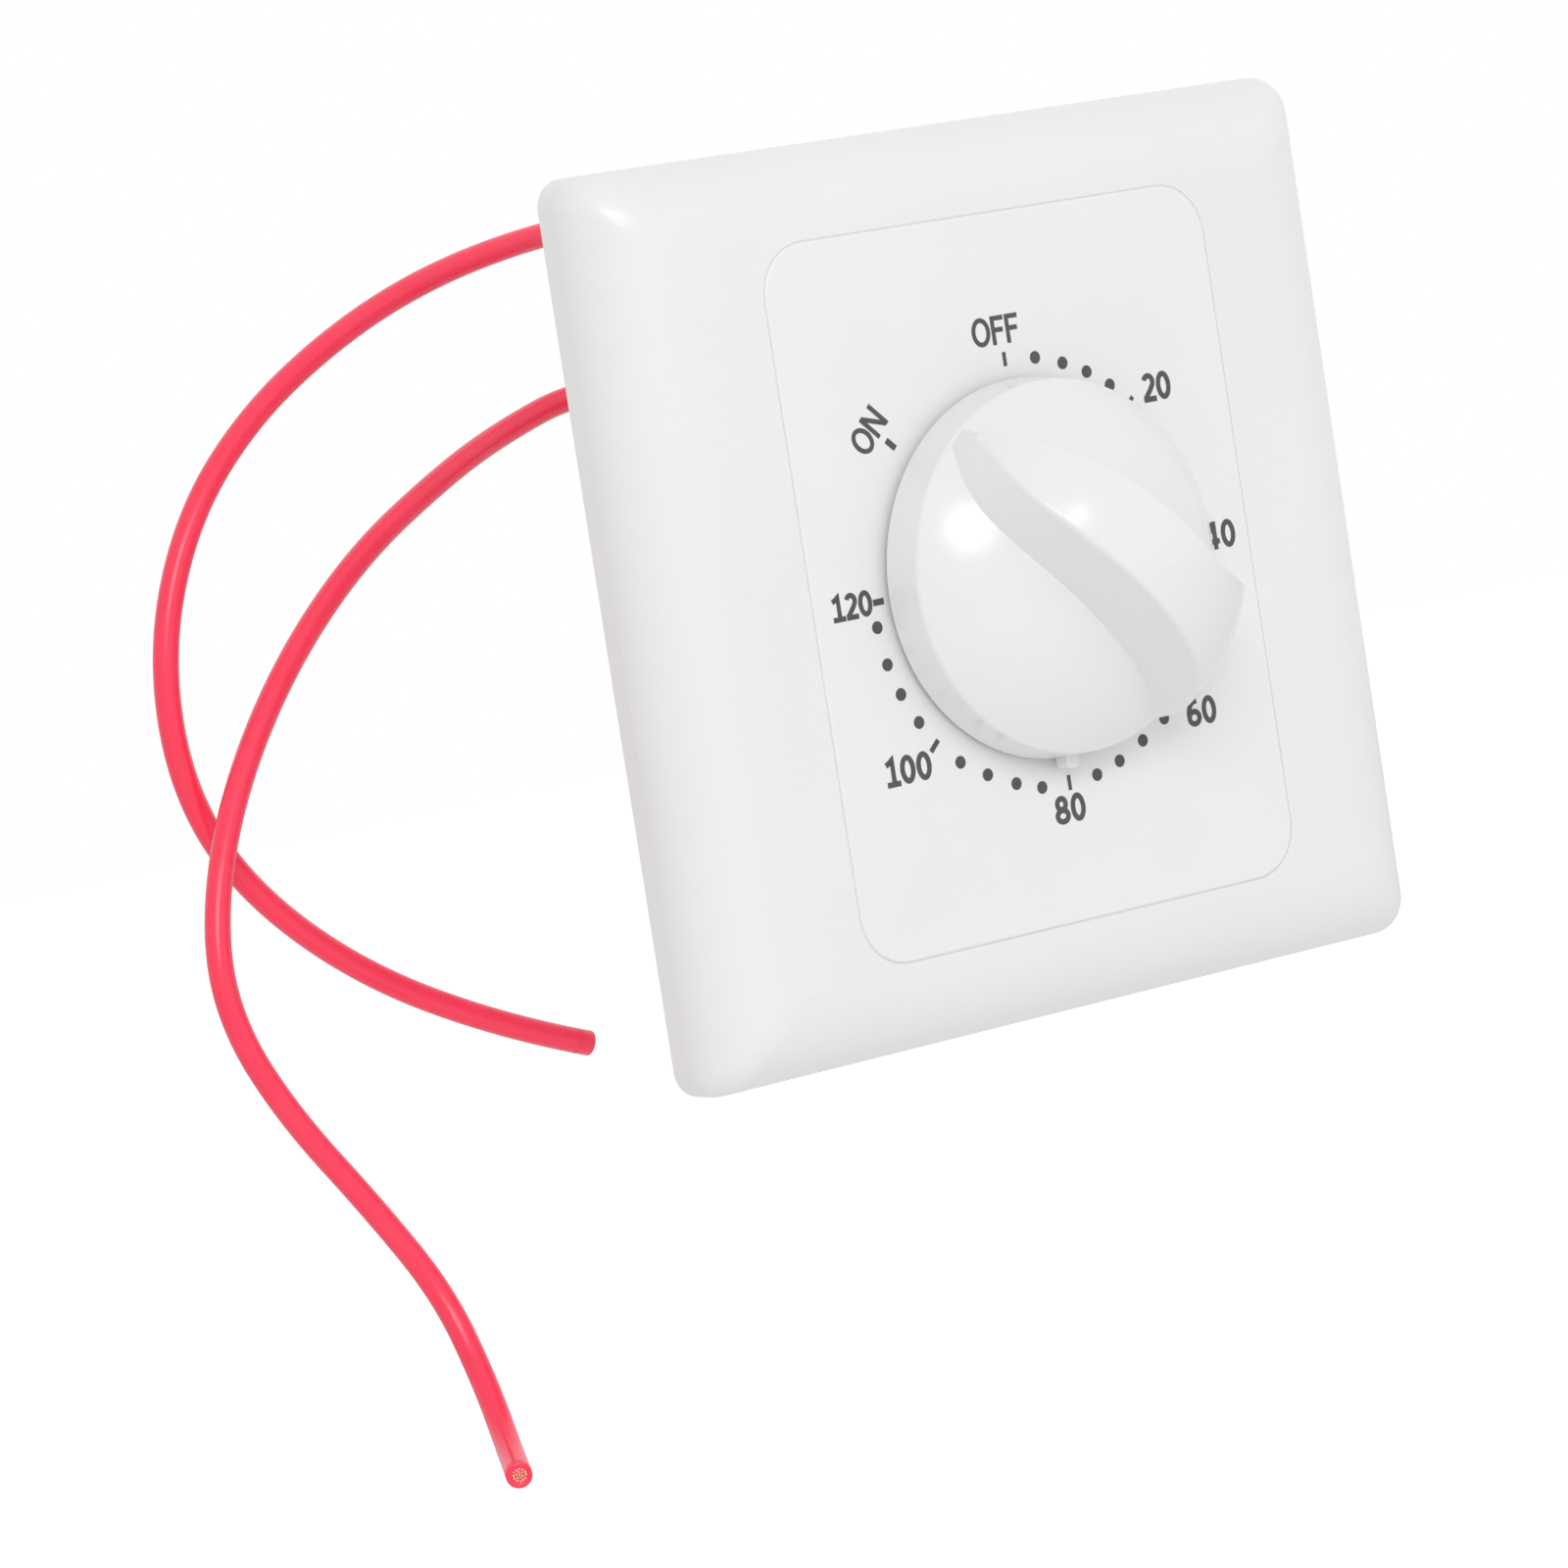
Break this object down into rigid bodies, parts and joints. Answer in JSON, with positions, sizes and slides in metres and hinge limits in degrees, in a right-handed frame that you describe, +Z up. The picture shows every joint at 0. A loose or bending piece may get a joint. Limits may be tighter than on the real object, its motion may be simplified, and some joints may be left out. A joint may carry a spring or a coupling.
{
  "type": "countdown timer light switch",
  "caption": "Square wall plate with a domed edge, a dial panel with a round S-grip knob that turns from ON past OFF through the minutes, and two bare-ended leads.",
  "frame": {"origin": "midpoint between the two wall screw holes, in the plane of the wall that the plate's rim rests on", "axes": "+Z up, +X to the right as seen from the room, +Y into the wall; the plate and knob stand on the -Y side"},
  "size_m": [0.1165, 0.0779, 0.1183],
  "materials": {
    "plate_white": "glossy white ABS, very slightly grey",
    "panel_white": "white ABS insert, satin, grey printing",
    "knob_white": "glossy white ABS",
    "cover_white": "white moulded plastic, matte",
    "zinc_steel": "zinc plated steel",
    "spring_steel": "spring steel, blue grey",
    "brass": "plain brass",
    "silver": "silver contact face",
    "brown_phenolic": "brown phenolic board",
    "cam_nylon": "natural nylon",
    "grommet_rubber": "soft black rubber",
    "red_pvc": "satin red PVC insulation",
    "copper": "bare bright copper strand"
  },
  "bodies": {
    "switch_body": {"face_plate": "plate_white", "dial_panel": "panel_white", "movement_screws": "zinc_steel", "movement_front_plate": "zinc_steel", "movement_rear_plate": "zinc_steel", "plate_pillars": "zinc_steel", "pillar_screws": "zinc_steel", "cover_screws": "zinc_steel", "mainspring": "spring_steel", "spring_anchor": "zinc_steel", "stop_pin": "zinc_steel", "moving_contact_block": "brown_phenolic", "fixed_contact_block": "brown_phenolic", "moving_contact": "brass", "fixed_contact": "brass", "contact_points": "silver", "lead_barrels": "brass", "inner_leads": "red_pvc", "rear_cover": "cover_white", "cable_grommet": "grommet_rubber", "upper_lead": "red_pvc", "upper_strands": "copper", "lower_lead": "red_pvc", "lower_strands": "copper"},
    "dial": {"knob": "knob_white", "knob_clamp_ring": "spring_steel", "drive_shaft": "zinc_steel", "main_wheel": "brass", "clutch_washer": "spring_steel", "cam_disc": "cam_nylon", "stop_arm": "zinc_steel", "retaining_ring": "spring_steel"},
    "second_arbor": {"second_wheel": "brass", "second_pinion": "brass"},
    "third_arbor": {"third_wheel": "brass", "third_pinion": "brass"},
    "escape_arbor": {"escape_wheel": "brass", "escape_pinion": "brass"},
    "balance": {"balance_staff": "spring_steel", "verge": "brass", "pallet_pins": "spring_steel", "balance_wheel": "brass"}
  },
  "joints": [
    {"name": "dial_turn", "type": "hinge", "parent": "switch_body", "child": "dial", "pos_m": [0, 0, 0], "axis": [0, 1, 0], "range_deg": [-7, 308]},
    {"name": "second_turn", "type": "hinge", "parent": "switch_body", "child": "second_arbor", "pos_m": [0.01316, 0, 0.00479], "axis": [0, 1, 0], "range_deg": [-1848, 42]},
    {"name": "third_turn", "type": "hinge", "parent": "switch_body", "child": "third_arbor", "pos_m": [0.00467, 0, 0.01327], "axis": [0, 1, 0], "range_deg": [-210, 9240]},
    {"name": "escape_turn", "type": "hinge", "parent": "switch_body", "child": "escape_arbor", "pos_m": [-0.00533, 0, 0.01327], "axis": [0, 1, 0], "range_deg": [-36960, 840]},
    {"name": "balance_swing", "type": "hinge", "parent": "switch_body", "child": "balance", "pos_m": [-0.01374, 0, 0.01179], "axis": [0, 1, 0], "range_deg": [-3, 3]}
  ],
  "couplings": [
    {"joint": "second_turn", "follows": "dial_turn", "ratio": -6},
    {"joint": "third_turn", "follows": "dial_turn", "ratio": 30},
    {"joint": "escape_turn", "follows": "dial_turn", "ratio": -120}
  ]
}
